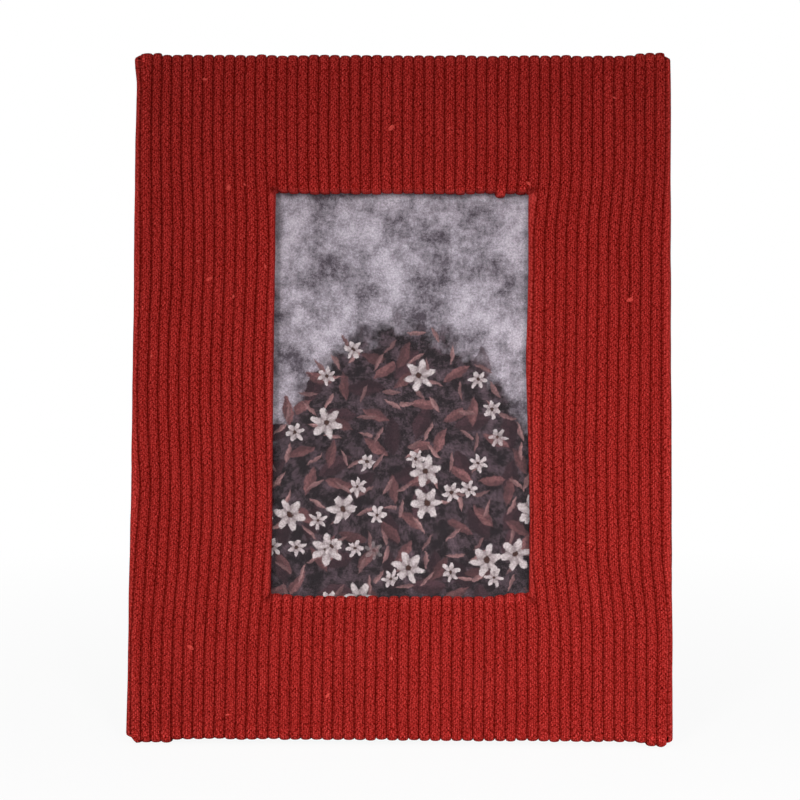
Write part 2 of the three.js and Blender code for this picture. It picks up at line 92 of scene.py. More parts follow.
# Pressed fibres, which every board and card of the frame shows at its own scale
cloud_fineness = 55.0
speck_share = 0.65  # of the pattern, the rest of it being soft clouds
fibre_rise = 0.0002
board_fibres = bpy.data.node_groups.new("board_fibres", "ShaderNodeTree")
board_fibres.interface.new_socket(name="Fineness", in_out="INPUT", socket_type="NodeSocketFloat")
board_fibres.interface.new_socket(name="Dark", in_out="INPUT", socket_type="NodeSocketColor")
board_fibres.interface.new_socket(name="Pale", in_out="INPUT", socket_type="NodeSocketColor")
board_fibres.interface.new_socket(name="Color", in_out="OUTPUT", socket_type="NodeSocketColor")
board_fibres.interface.new_socket(name="Height", in_out="OUTPUT", socket_type="NodeSocketFloat")
fibre_in = board_fibres.nodes.new("NodeGroupInput").outputs
fibre_place = add_node(board_fibres, "ShaderNodeTexCoord").outputs["Object"]
fibre_specks = add_node(board_fibres, "ShaderNodeTexNoise", {
    "Vector": fibre_place, "Scale": fibre_in["Fineness"], "Detail": 5.0, "Roughness": 0.62}).outputs["Fac"]
fibre_clouds = add_node(board_fibres, "ShaderNodeTexNoise", {
    "Vector": fibre_place, "Scale": cloud_fineness, "Detail": 3.0}).outputs["Fac"]
fibre_sum = sums(board_fibres, "ADD", sums(board_fibres, "MULTIPLY", fibre_specks, speck_share),
                 sums(board_fibres, "MULTIPLY", fibre_clouds, 1 - speck_share))
fibre_tone = spread(board_fibres, fibre_sum, 0.32, 0.68)
fibre_colour = mix_colours(board_fibres, fibre_tone, fibre_in["Dark"], fibre_in["Pale"])
add_node(board_fibres, "NodeGroupOutput", {"Color": fibre_colour, "Height": fibre_sum})


def board_finish(name, fineness, dark, pale, bump, **sockets):
    material, tree, shader = new_finish(name, **sockets)
    fibres = add_node(tree, "ShaderNodeGroup", node_tree=board_fibres)
    fibres.inputs["Fineness"].default_value = fineness
    fibres.inputs["Dark"].default_value = dark
    fibres.inputs["Pale"].default_value = pale
    tree.links.new(fibres.outputs["Color"], shader.inputs["Base Color"])
    raised = add_node(tree, "ShaderNodeBump", {
        "Height": fibres.outputs["Height"], "Strength": bump, "Distance": fibre_rise})
    tree.links.new(raised.outputs["Normal"], shader.inputs["Normal"])
    return material


raw_fibreboard = board_finish("raw_fibreboard", 1400.0, (0.27, 0.155, 0.07, 1), (0.47, 0.3, 0.155, 1), 0.35,
                              Roughness=0.85)
finish_nodes(raw_fibreboard, "top_rail", "bottom_rail", "left_rail", "right_rail")

# Rubbed and dulled patches, which all the plated metal of the frame shows
patch_fineness = 420.0
polish_fineness = (300.0, 300.0, 4200.0)  # polishing leaves fine level lines
polish_depth = 0.0001
plating_wear = bpy.data.node_groups.new("plating_wear", "ShaderNodeTree")
plating_wear.interface.new_socket(name="Bright", in_out="INPUT", socket_type="NodeSocketColor")
plating_wear.interface.new_socket(name="Dull", in_out="INPUT", socket_type="NodeSocketColor")
plating_wear.interface.new_socket(name="Color", in_out="OUTPUT", socket_type="NodeSocketColor")
plating_wear.interface.new_socket(name="Roughness", in_out="OUTPUT", socket_type="NodeSocketFloat")
plating_wear.interface.new_socket(name="Height", in_out="OUTPUT", socket_type="NodeSocketFloat")
wear_in = plating_wear.nodes.new("NodeGroupInput").outputs
wear_place = add_node(plating_wear, "ShaderNodeTexCoord").outputs["Object"]
wear_patches = add_node(plating_wear, "ShaderNodeTexNoise", {
    "Vector": wear_place, "Scale": patch_fineness, "Detail": 4.0, "Roughness": 0.6}).outputs["Fac"]
wear_stretch = add_node(plating_wear, "ShaderNodeMapping", {
    "Vector": wear_place, "Scale": polish_fineness})
wear_lines = add_node(plating_wear, "ShaderNodeTexNoise", {
    "Vector": wear_stretch.outputs["Vector"], "Scale": 1.0, "Detail": 3.0}).outputs["Fac"]
wear_mask = spread(plating_wear, wear_patches, 0.38, 0.66)
wear_colour = mix_colours(plating_wear, wear_mask, wear_in["Bright"], wear_in["Dull"])
wear_rough = sums(plating_wear, "ADD", spread(plating_wear, wear_patches, 0.3, 0.7, 0.22, 0.42),
                  sums(plating_wear, "MULTIPLY", wear_lines, 0.12))
add_node(plating_wear, "NodeGroupOutput", {
    "Color": wear_colour, "Roughness": wear_rough, "Height": wear_lines})


def plated_finish(name, bright, dull):
    material, tree, shader = new_finish(name, Metallic=1.0)
    wear = add_node(tree, "ShaderNodeGroup", node_tree=plating_wear)
    wear.inputs["Bright"].default_value = bright
    wear.inputs["Dull"].default_value = dull
    tree.links.new(wear.outputs["Color"], shader.inputs["Base Color"])
    tree.links.new(wear.outputs["Roughness"], shader.inputs["Roughness"])
    scored = add_node(tree, "ShaderNodeBump", {
        "Height": wear.outputs["Height"], "Strength": 0.12, "Distance": polish_depth})
    tree.links.new(scored.outputs["Normal"], shader.inputs["Normal"])
    return material


zinc_plate = plated_finish("zinc_plate", (0.62, 0.63, 0.65, 1), (0.46, 0.47, 0.49, 1))
finish_nodes(zinc_plate, *[f"corner_vnail_{number}" for number in range(1, 9)])

# Corduroy cover
# One sheet of wide-wale cotton corduroy, its wales upright, glued over the rails. It is turned round the
# outer edges to a hem on the back, tucked at the corners, and turned in through the window behind the lip.

# The frame leans back on its strut. Pieces are drawn upright, with x across, y backwards from the front of
# the rails and z up from the bottom of the cloth. This matrix then leans them back to where the solids are
lean = math.radians(12.5)
middle_height = 0.115  # of the window, above the bottom of the cloth
board_front = 0.0099  # the faces and the lower edge of the backboard, while it is upright
board_back = 0.0129
board_foot = 0.039
board_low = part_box("backboard")[0]
stand_y = board_low.y - board_front * math.cos(lean) - board_foot * math.sin(lean)
stand_z = board_low.z + board_back * math.sin(lean) - board_foot * math.cos(lean)
stand = Matrix.Translation((0, stand_y, stand_z)) @ Matrix.Rotation(-lean, 4, "X")

core_half_width = 0.0875  # of the rails, under the cloth
core_half_height = 0.1125
rail_depth = 0.0116
lip_half_width = 0.045  # of the opening in the rails
lip_half_height = 0.07
lip_depth = 0.004
ground_cloth = 0.0017  # the outer face of the ground cloth, off the rail under it
ground_thickness = 0.0006
hem_press = 0.0005  # how much the hems are pressed in
hem_flat = 0.5  # the share of the pile that is pressed flat there
wale_pitch = 0.00355
pile_rise = 0.0008
hem_run = 0.0114  # onto the back of the rails
flap_hem = 0.005  # onto the back of the lip
corner_cut = 0.0006  # how far past the rails' ends the corners are cut out
mitre_slack = 0.0004  # how far before the side hems the corners are mitred
tuck_run = 0.007
tuck_radius = 0.0011
tuck_flat = 0.9  # the share of the pile that is pressed flat in a tuck
edge_arc = ground_cloth * math.pi / 2
hem_start = 2 * edge_arc + rail_depth
tuck_depth = hem_start - mitre_slack
flap_run = 2 * edge_arc + lip_depth + flap_hem
cloth_half_width = core_half_width + hem_start + hem_run
cloth_half_length = core_half_height + hem_start + hem_run
edge_rib = 25  # the groove that runs along the frame's front edges, counted from the middle
edge_groove = edge_rib * wale_pitch
edge_pull = 0.0006  # how far the glued edges drag that groove onto the front
loose_wale = 9  # the wale whose end hangs low at the top of the window
slit_rib = 12.73  # the line of the slits at the window's corners
slit_notch_shade = 0.0013  # how far round the meeting of two flaps the pile is lowered and its colour darkened to the groove's, a painted shade in the slit


def ease(value, start, end):
    share = min(max((value - start) / (end - start), 0.0), 1.0)
    return share * share * (3 - 2 * share)


def bell(value, middle, width):
    return math.exp(-(((value - middle) / width) ** 2))


# The glued cloth is dragged about a little. Each pull has its strength, and the middle and the reach of the
# stretch along the frame where it acts
left_pulls = ((0.0016, -0.036, 0.028), (0.00105, 0.046, 0.027))
right_pulls = ((0.00075, -0.02, 0.035),)
left_edge_pulls = ((0.0003, 0.04, 0.025), (0.0011, -0.032, 0.014), (-0.0008, -0.088, 0.012))
right_edge_pulls = ((-0.0007, -0.085, 0.012),)
right_drag = 0.0019  # the even pull all along the right of the window
right_edge_drag = 0.0008  # and at the outer edge beside it
foot_drag = 0.0005
foot_turn = 0.0045  # the share of its place across by which the right of the foot is let go again
head_drag = 0.0002
jamb_wale = 0.0462  # the wale at the left of the window, and how far and how widely it is pushed back
jamb_push = 0.0004
jamb_reach = 0.0035
edge_grip = 0.65  # the share of the drift that the glued outer edges hold back
grip_start = 0.078
wale_wander = 0.00022

# Where each drag begins and where it is whole, going outwards from the middle or inwards past an end
border_stretch = (0.01, 0.042)
foot_stretch = (0.055, 0.088)
head_stretch = (0.06, 0.09)
window_foot = (-0.08, -0.053)
window_head = (-0.08, -0.05)
right_edge_foot = (-0.066, -0.052)
right_edge_head = (-0.085, -0.045)


def pulled(along, pulls):
    return sum(strength * bell(along, middle, reach) for strength, middle, reach in pulls)


# The wales lean towards the window beside it, and to the left along the bottom
def wale_drift(across, along):
    left = ease(-across, *border_stretch)
    right = ease(across, *border_stretch)
    beside_window = ease(along, *window_foot) * ease(-along, *window_head)
    drift = left * pulled(along, left_pulls)
    drift -= right * beside_window * (right_drag + pulled(along, right_pulls))
    drift -= ease(-along, *foot_stretch) * (foot_drag - foot_turn * max(across, 0))
    drift -= ease(along, *head_stretch) * head_drag
    drift += jamb_push * beside_window * bell(-across, jamb_wale, jamb_reach)
    drift += wale_wander * noise.noise(Vector((across * 90, along * 75, 3.1)))
    near_edge = ease(abs(across), grip_start, edge_groove)
    if across < 0:
        pull = pulled(along, left_edge_pulls)
    else:
        pull = right_edge_drag * ease(along, *right_edge_foot) * ease(-along, *right_edge_head)
        pull += pulled(along, right_edge_pulls)
    edge_drift = math.copysign((edge_pull + pull) * near_edge, across)
    drift = drift * (1 - edge_grip * near_edge) - edge_drift
    return drift * (1 - ease(abs(across), edge_groove + 0.003, core_half_width + hem_start))


# Rows of the cloth from its middle line out to one hem, closer together where it turns
def even_rows(start, end, count):
    return [start + (end - start) * (step + 1) / count for step in range(count)]


half_rows = [0.0]
half_rows += even_rows(0.0, lip_half_height - flap_run, 22)
half_rows += even_rows(half_rows[-1], half_rows[-1] + flap_hem, 2)
half_rows += even_rows(half_rows[-1], half_rows[-1] + edge_arc, 2)
half_rows += even_rows(half_rows[-1], half_rows[-1] + lip_depth, 3)
half_rows += even_rows(half_rows[-1], lip_half_height, 4)
half_rows += even_rows(lip_half_height, core_half_height, 18)
half_rows += even_rows(core_half_height, core_half_height + edge_arc, 4)
half_rows += even_rows(half_rows[-1], half_rows[-1] + rail_depth, 5)
half_rows += even_rows(half_rows[-1], half_rows[-1] + edge_arc, 3)
half_rows += even_rows(half_rows[-1], cloth_half_length, 5)
cloth_rows = [-row for row in reversed(half_rows[1:])] + half_rows
wale_columns = (0.0, 0.09, 0.27, 0.5, 0.73, 0.91)  # the columns across one wale, from its groove
wales_each_way = math.ceil(cloth_half_width / wale_pitch)
column_count = 2 * wales_each_way * len(wale_columns)
row_count = len(cloth_rows) - 1

# The flat sheet, laid out along its wales
cloth = bmesh.new()
pile_layer = cloth.verts.layers.float.new("pile")
rib_layer = cloth.verts.layers.float.new("rib")
cloth_uv = cloth.loops.layers.uv.new("cloth")
bmesh.ops.create_grid(cloth, x_segments=column_count, y_segments=row_count, size=0.5)
for point in cloth.verts:
    column = round((point.co.x + 0.5) * column_count)
    row = round((point.co.y + 0.5) * row_count)
    wale, part = divmod(column, len(wale_columns))
    point[rib_layer] = wale - wales_each_way + wale_columns[part]
    across = point[rib_layer] * wale_pitch
    along = cloth_rows[row]
    off_crest = abs(2 * wale_columns[part] - 1)
    point[pile_layer] = (1 - off_crest ** 2.5) ** 0.5
    point.co = Vector((across + wale_drift(across, along), along, 0))

# Cut the window and the corners, leaving a short tuck at the ends of the sides
inside_window = (lip_half_width - flap_run, lip_half_height - flap_run)


def is_cut_away(face):
    middle = face.calc_center_median()
    across, along = abs(middle.x), abs(middle.y)
    rib = sum(abs(point[rib_layer]) for point in face.verts) / len(face.verts)
    past_side = across - core_half_width
    past_end = along - core_half_height
    if across < inside_window[0] and along < inside_window[1]:
        return True
    if across > cloth_half_width:
        return True
    if rib < edge_rib or past_end < corner_cut:
        return False
    is_tuck = past_end < tuck_run and rib > edge_rib + wale_columns[1] and past_side < tuck_depth
    return not is_tuck


waste = [face for face in cloth.faces if is_cut_away(face)]
bmesh.ops.delete(cloth, geom=waste, context="FACES")
for side in (-1, 1):
    for up in (-1, 1):
        end_line = Vector((side * (edge_groove - edge_pull), up * (core_half_height + hem_start), 0))
        side_line = Vector((side * (core_half_width + hem_start), up * core_half_height, 0))
        for start, is_hem in (
            (end_line, lambda middle: abs(middle.y) > core_half_height + hem_start - 1e-6),
            (side_line, lambda middle: abs(middle.x) > core_half_width + tuck_depth),
        ):
            faces = []
            for face in cloth.faces:
                middle = face.calc_center_median()
                if is_hem(middle) and middle.x * side > 0 and middle.y * up > 0:
                    faces.append(face)
            edges = {edge for face in faces for edge in face.edges}
            points = {point for face in faces for point in face.verts}
            bmesh.ops.bisect_plane(cloth, geom=[*faces, *edges, *points], dist=1e-7,
                                   plane_co=start, plane_no=(side, up, 0), clear_outer=True)
flat_area = sum(face.calc_area() for face in cloth.faces)
for face in cloth.faces:
    for loop in face.loops:
        spot = loop.vert.co
        loop[cloth_uv].uv = (0.5 + spot.x / cloth_half_width / 2, 0.5 + spot.y / cloth_half_length / 2)

# Each corner of the window is slit, and both flaps beside a slit are eased right into the corner. So the
# square that they share is in the sheet twice, once with the end flap and once with the side flap
end_flap_layer = cloth.verts.layers.float.new("end_flap")
end_flaps = set()
for face in cloth.faces:
    face_along = abs(face.calc_center_median().y)
    is_inside = all(abs(point[rib_layer]) < slit_rib + 0.01 for point in face.verts)
    if is_inside and lip_half_height - flap_run < face_along < lip_half_height:
        end_flaps.add(face)
slits = [
    edge for edge in cloth.edges
    if len(edge.link_faces) == 2 and len(end_flaps.intersection(edge.link_faces)) == 1
    and min(abs(point.co.y) for point in edge.verts) < lip_half_height - 1e-5
]


def cloth_key(point):
    return round(point.co.x, 6), round(point.co.y, 6)


slit_edges = bmesh.ops.split_edges(cloth, edges=slits)["edges"]
slit_sides = {
    cloth_key(point): point for edge in slit_edges for point in edge.verts
    if any(face not in end_flaps for face in point.link_faces)
}
shared_squares = [face for face in end_flaps if abs(face.calc_center_median().x) > inside_window[0]]
shared = [*shared_squares, *{edge for face in shared_squares for edge in face.edges},
          *{point for face in shared_squares for point in face.verts}]
side_copies = [part for part in bmesh.ops.duplicate(cloth, geom=shared)["geom"]
               if isinstance(part, bmesh.types.BMVert)]
bmesh.ops.weld_verts(cloth, targetmap={
    point: slit_sides[cloth_key(point)] for point in side_copies if cloth_key(point) in slit_sides})
for face in end_flaps:
    for point in face.verts:
        point[end_flap_layer] = 1


# How far out from a rail's edge, and how far back, the cloth lies once it has run past that edge
def round_edge(past, depth, lift):
    reach = ground_cloth + lift
    if past <= 0:
        return past, -reach
    if past < edge_arc:
        turn = past / ground_cloth
        return reach * math.sin(turn), -reach * math.cos(turn)
    if past < edge_arc + depth:
        return reach, past - edge_arc
    if past < 2 * edge_arc + depth:
        turn = (past - edge_arc - depth) / ground_cloth
        return reach * math.cos(turn), depth + reach * math.sin(turn)
    return 2 * edge_arc + depth - past, depth + reach


# Each corner stands proud of the top or bottom over a few wales, where the side is tucked under, and flares
# out. Its values are how far it stands proud, over how many wales, its flare, where its tuck starts past the
# rail's end, and the slant of its outer wale
corner_tucks = {
    (-1, 1): (0.0005, 2, 0.0009, 0.001, 0.0),
    (1, 1): (0.0009, 3, 0.0, 0.001, 0.0),
    (-1, -1): (0.0013, 4, 0.0001, 0.001, 0.0014),
    (1, -1): (0.0014, 2, 0.0, 0.0017, 0.0005),
}
flare_run = 0.009  # how far from the corner a flare starts
last_proud = 0.3  # how proud the last wale of a corner is, next to the others
left_swells = ((0.0004, 0.075, 0.04),)  # strength, middle and reach, as for the pulls
right_wander = 0.00025
plump_share = 0.14  # how unevenly the pile stands up
ragged_ends = 0.0004  # how unevenly the wales end
foot_sag = 0.0003

# The sill's ends rise into the window from a place across, by side. Along the head the wales are drawn up
# and pressed a little flat, apart from the loose one
sill_rises = {-1: (0.001, 0.034), 1: (0.0018, 0.026)}
sill_end = 0.044
head_press = 0.35
head_draw = 0.00025
loose_drop = 0.00075
left_jamb_bow = 0.0004
right_jamb_bows = ((0.0004, -0.045, 0.03), (-0.0009, 0.011, 0.024), (-0.00028, 0.058, 0.018))


# Where a point of the flat sheet lies on the frame while that is upright
def wrapped(flat, pile, rib, is_end_flap):
    across, along = abs(flat.x), abs(flat.y)
    side, up = math.copysign(1, flat.x), math.copysign(1, flat.y)
    past_side = across - core_half_width
    past_end = along - core_half_height
    into_side = lip_half_width - across
    into_end = lip_half_height - along
    wale = math.floor(rib)
    from_edge = edge_rib - 1 - wale if side > 0 else wale + edge_rib
    plump = 1 + plump_share * noise.noise(Vector((flat.x * 160, flat.y * 110, 7.7)))
    lift = pile * pile_rise * plump
    ragged = ragged_ends * noise.noise(Vector((wale * 1.37, up * 4.1, 0.4)))
    proud_height, proud_wales, flare, tuck_start, wale_slant = corner_tucks[side, up]
    flare *= ease(along, core_half_height - flare_run, core_half_height + 0.001)
    if side < 0:
        flare += pulled(flat.y, left_swells)
    else:
        flare += right_wander * noise.noise(Vector((flat.y * 55, 0, 2.2)))
    if is_end_flap:
        pressed = ease(into_end, edge_arc + lip_depth, 2 * edge_arc + lip_depth)
        turned = ease(into_end, 0, edge_arc)
        if up < 0:
            sill_rise, rise_start = sill_rises[side]
            hang = ragged + sill_rise * ease(across, rise_start, sill_end)
        elif wale == loose_wale:
            hang = ragged + loose_drop
        else:
            hang = ragged - head_draw
            lift *= 1 - head_press * turned
        out, back = round_edge(into_end, lip_depth, lift * (1 - pressed) - hem_press * pressed)
        x = across
        z = lip_half_height - out - hang * turned * (1 - pressed)
    elif into_side > 0 and into_end > -1e-6:
        pressed = ease(into_side, edge_arc + lip_depth, 2 * edge_arc + lip_depth)
        out, back = round_edge(into_side, lip_depth, lift * (1 - pressed) - hem_press * pressed)
        bow = left_jamb_bow if side < 0 else pulled(flat.y, right_jamb_bows)
        x = lip_half_width - out + bow * ease(into_side, 0, edge_arc) * (1 - pressed)
        z = along
    elif abs(rib) > edge_rib + wale_columns[1] / 2:
        pressed = ease(past_side, edge_arc + rail_depth, hem_start)
        lift = lift * (1 - hem_flat * pressed) - hem_press * pressed
        lift *= 1 - tuck_flat * ease(past_end, tuck_start, tuck_start + tuck_radius)
        out, back = round_edge(past_side, rail_depth, lift)
        turn = min(max(past_end - tuck_start, 0) / tuck_radius, math.pi / 2)
        run_on = max(past_end - tuck_start - tuck_radius * math.pi / 2, 0)
        x = core_half_width + out + flare * (1 - pressed) - tuck_radius * (1 - math.cos(turn)) - run_on
        z = min(along, core_half_height + tuck_start) + tuck_radius * math.sin(turn)
        z -= max(z - core_half_height, 0) * pressed
    else:
        pressed = ease(past_end, edge_arc + rail_depth, hem_start)
        lift = lift * (1 - hem_flat * pressed) - hem_press * pressed
        turn = max(past_side, 0) / ground_cloth
        x = min(across, core_half_width) + (ground_cloth + lift) * math.sin(turn)
        x += flare * ease(across, core_half_width - 0.001, edge_groove)
        out, back = round_edge(past_end, rail_depth, (ground_cloth + lift) * math.cos(turn) - ground_cloth)
        proud = ragged - wale_slant * (1 - ease(edge_rib - abs(rib), 0, 0.5))
        if from_edge < proud_wales:
            proud += proud_height
        elif from_edge == proud_wales:
            proud += last_proud * proud_height
        z = core_half_height + out + proud * ease(past_end, -0.0005, edge_arc) * (1 - pressed)
        if up < 0:
            z -= foot_sag * ease(past_end, edge_arc, edge_arc + rail_depth)
    return Vector((side * x, back, middle_height + up * z))


# Painted highlight where the cloth bends round an edge. The pile is made paler there, partly as the pile
# opening at the bend and partly standing in for the light on the edges and, at the window's top, on the
# shaded undersides of the wale ends. Along the top and the bottom it is this strong at the outer edge and at
# the window, and starts this far past the window's edge
bend_highlight_strengths = {1: (0.7, 2.2, 0.0013), -1: (0.3, 0.6, 0.0)}


# How strong the painted highlight is at a point this far past a bend
def bend_highlight_at(past):
    return ease(past, -0.0004, 0.0008) * (1 - ease(past, 0.003, 0.006))


table_clearance = 0.00002  # the foot of the cloth is pressed flat on the table
# The painted highlight at the bends, kept on each point of the sheet
bend_highlight_layer = cloth.verts.layers.float.new("bend_highlight")
for point in cloth.verts:
    across, along = abs(point.co.x), abs(point.co.y)
    # Round each slit the pile is lowered and, through it, the colour is darkened to the groove's: painted
    # shade in the slit
    off_slit = math.hypot(lip_half_width - across - slit_notch_shade, lip_half_height - along - slit_notch_shade)
    point[pile_layer] *= 1 - bell(off_slit, 0, slit_notch_shade)
    outer_highlight, window_highlight, highlight_after = bend_highlight_strengths[math.copysign(1, point.co.y)]
    side_bend_highlight = bend_highlight_at(across - core_half_width)
    if along < lip_half_height:
        side_bend_highlight = max(side_bend_highlight, bend_highlight_at(lip_half_width - across))
    end_bend_highlight = outer_highlight * bend_highlight_at(along - core_half_height)
    if across < lip_half_width:
        end_bend_highlight = max(end_bend_highlight, window_highlight * bend_highlight_at(lip_half_height - along - highlight_after))
    point[bend_highlight_layer] = max(side_bend_highlight, end_bend_highlight)
    point.co = stand @ wrapped(point.co, point[pile_layer], point[rib_layer], point[end_flap_layer] > 0.5)
    point.co.z = max(point.co.z, table_clearance)
for face in cloth.faces:
    face.smooth = True


def add_piece(name, shape, material):
    mesh = bpy.data.meshes.new(name)
    shape.to_mesh(mesh)
    shape.free()
    mesh.materials.append(material)
    piece = bpy.data.objects.new(name, mesh)
    bpy.context.scene.collection.objects.link(piece)
    return piece


# The tufts of the pile stand in rows, each column half a step from the next, and their fibres are crossed by
# the soft shading of the nap
tufts_across = 5.0  # on one wale
tuft_pitch = 1.26  # along the wale, in millimetres
tuft_slant = 0.22  # how much of each half step from column to column is a slant of the tufts themselves
tuft_weight = 0.37
fibre_weight = 0.5
nap_weight = 0.15
bend_highlight_weight = 0.2
deep_red = (0.02, 0.0004, 0.0002, 1)
pile_red = (0.35, 0.0132, 0.0099, 1)
# The palest tufts turn towards this colour, partly the paler tips of the pile and partly painted sheen
tip_sheen_red = (0.67, 0.06, 0.052, 1)
# The colour of the painted shade at the bottom of the grooves
groove_shade_red = (0.113, 0.0027, 0.0011, 1)
pile_bump = 0.00035
corduroy, weave, pile_shader = new_finish(
    "corduroy", Roughness=0.95, Specular_IOR_Level=0.02, Sheen_Weight=0.04, Sheen_Tint=(0.8, 0.1, 0.07, 1))
cloth_place = add_node(weave, "ShaderNodeUVMap", uv_map="cloth").outputs["UV"]
cloth_size_mm = (2000 * cloth_half_width, 2000 * cloth_half_length, 1.0)
cloth_in_mm = add_node(weave, "ShaderNodeMapping", {
    "Vector": cloth_place, "Scale": cloth_size_mm}).outputs["Vector"]
pile_height = add_node(weave, "ShaderNodeAttribute", attribute_name="pile").outputs["Fac"]
rib_place = add_node(weave, "ShaderNodeAttribute", attribute_name="rib").outputs["Fac"]
rib_share = sums(weave, "FRACT", rib_place, 0.0)
from_crest = sums(weave, "ABSOLUTE", sums(weave, "SUBTRACT", rib_share, 0.5), 0.0)
along_wale = add_node(weave, "ShaderNodeSeparateXYZ", {"Vector": cloth_in_mm}).outputs["Y"]
tuft_column = sums(weave, "MULTIPLY", from_crest, tufts_across)
half_steps = sums(weave, "ADD", sums(weave, "MULTIPLY", tuft_column, tuft_slant),
                  sums(weave, "MULTIPLY", sums(weave, "ROUND", tuft_column, 0.0), 0.5 - tuft_slant))
tuft_along = sums(weave, "ADD", sums(weave, "DIVIDE", along_wale, tuft_pitch), half_steps)
tuft_place = add_node(weave, "ShaderNodeCombineXYZ", {
    "X": sums(weave, "MULTIPLY", rib_place, tufts_across), "Y": tuft_along}).outputs["Vector"]
tufts = add_node(weave, "ShaderNodeTexVoronoi", {
    "Vector": tuft_place, "Scale": 1.0, "Randomness": 0.45}, voronoi_dimensions="2D").outputs["Distance"]
pile_place = add_node(weave, "ShaderNodeMapping", {"Vector": cloth_in_mm, "Scale": (1.6, 4.2, 1.0)})
pile_fibres = add_node(weave, "ShaderNodeTexNoise", {
    "Vector": pile_place.outputs["Vector"], "Scale": 1.0, "Detail": 2.0, "Roughness": 0.6},
    noise_dimensions="2D").outputs["Fac"]
nap_place = add_node(weave, "ShaderNodeMapping", {"Vector": cloth_in_mm, "Scale": (0.16, 0.06, 1.0)})
nap = add_node(weave, "ShaderNodeTexNoise", {
    "Vector": nap_place.outputs["Vector"], "Scale": 1.0, "Detail": 3.0},
    noise_dimensions="2D").outputs["Fac"]
tuft_tone = spread(weave, tufts, 0.26, 0.58, 1.0, 0.0)
pile_tone = spread(weave, pile_fibres, 0.41, 0.59)
# The painted highlight at the bends lightens the pile's tone
bend_highlight = add_node(weave, "ShaderNodeAttribute", attribute_name="bend_highlight").outputs["Fac"]
tone = sums(weave, "MULTIPLY", tuft_tone, tuft_weight)
for share, weight in ((pile_tone, fibre_weight), (nap, nap_weight), (bend_highlight, bend_highlight_weight)):
    tone = sums(weave, "ADD", tone, sums(weave, "MULTIPLY", share, weight))
red = mix_colours(weave, spread(weave, tone, 0.0, 0.5), deep_red, pile_red)
# The top of the tone runs to the tips' colour, a painted sheen on the brightest tufts
red = mix_colours(weave, spread(weave, tone, 0.5, 1.0), red, tip_sheen_red)
# Painted shade: the colour darkens from the crest down the wale's rounded sides into the groove, by the
# pile's height, with the tufts breaking its edge
groove_cover = sums(weave, "MULTIPLY", sums(weave, "SUBTRACT", tuft_tone, 0.5), 0.22)
depth_shade = spread(weave, sums(weave, "ADD", pile_height, groove_cover), -0.06, 1.0)
red = mix_colours(weave, depth_shade, groove_shade_red, red)
weave.links.new(red, pile_shader.inputs["Base Color"])
nap_bump = add_node(weave, "ShaderNodeBump", {
    "Height": sums(weave, "ADD", tuft_tone, pile_tone), "Strength": 0.85, "Distance": pile_bump})
weave.links.new(nap_bump.outputs["Normal"], pile_shader.inputs["Normal"])

cover = add_piece("corduroy_sheet", cloth, corduroy)
cloth_body = cover.modifiers.new("cloth_thickness", "SOLIDIFY")
cloth_body.thickness = ground_thickness
cloth_body.offset = -1
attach(cover, "frame")
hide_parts("corduroy_cover")

# Lint on the cloth
# Short ends of loose pile, felted into small flat tufts. They come off the cut edges of the sheet and cling
# to the front of the cloth where they fall.
lint_thickness = 0.35  # of its half length, as is the width
lint_width = 0.55
lint_turn = 2.4  # from one tuft to the next, in radians
lint_spots = (
    (-0.067, 0.221, 0.0008), (-0.004, 0.2045, 0.0012), (-0.0585, 0.184, 0.0011),
    (-0.0531, 0.1851, 0.0005), (-0.0685, 0.159, 0.0006), (-0.0645, 0.153, 0.001),
    (-0.0564, 0.147, 0.0007), (-0.0458, 0.1572, 0.0007), (0.071, 0.215, 0.0006),
    (0.076, 0.1465, 0.0011), (-0.0835, 0.127, 0.0006), (0.085, 0.0885, 0.0006),
    (-0.069, 0.03, 0.0011), (-0.0565, 0.008, 0.0006), (-0.0235, 0.0145, 0.0009),
    (-0.0025, 0.027, 0.0007), (0.0422, 0.1857, 0.0008), (0.0625, 0.0655, 0.0006),
    (0.0155, 0.2045, 0.0006),
)  # across, up and half length of each tuft
lint = bmesh.new()
for number, (across, up, half_length) in enumerate(lint_spots):
    turn = Matrix.Rotation(lint_turn * number, 4, "Y")
    shape = Matrix.Diagonal((half_length, lint_thickness * half_length, lint_width * half_length, 1))
    place = Matrix.Translation((across, -ground_cloth - pile_rise, up))
    tuft = bmesh.ops.create_icosphere(lint, subdivisions=3, radius=1.0)["verts"]
    for point in tuft:
        point.co *= 1 + 0.5 * noise.noise(point.co * 2.3 + Vector((number, 0, 0)))
        point.co = stand @ place @ turn @ shape @ point.co
lint_finish, lint_tree, lint_shader = new_finish("lint", Roughness=1.0, Specular_IOR_Level=0.05)
lint_fibres = add_node(lint_tree, "ShaderNodeTexNoise", {
    "Vector": add_node(lint_tree, "ShaderNodeTexCoord").outputs["Object"], "Scale": 3500.0, "Detail": 3.0})
lint_colour = mix_colours(lint_tree, spread(lint_tree, lint_fibres.outputs["Fac"], 0.35, 0.65),
                          (0.3, 0.02, 0.016, 1), (0.64, 0.08, 0.062, 1))
lint_tree.links.new(lint_colour, lint_shader.inputs["Base Color"])
lint_piece = add_piece("lint", lint, lint_finish)
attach(lint_piece, "frame")

# Rear lining
# A ring of dark card glued over the back of the rails inside the hem. It covers the raw fibreboard and the
# V-nails, and the turn buttons are screwed through it.
lining_card = board_finish("lining_card", 1900.0, (0.035, 0.029, 0.026, 1), (0.1, 0.083, 0.073, 1), 0.3,
                           Roughness=0.88)
finish_nodes(lining_card, "rear_lining")

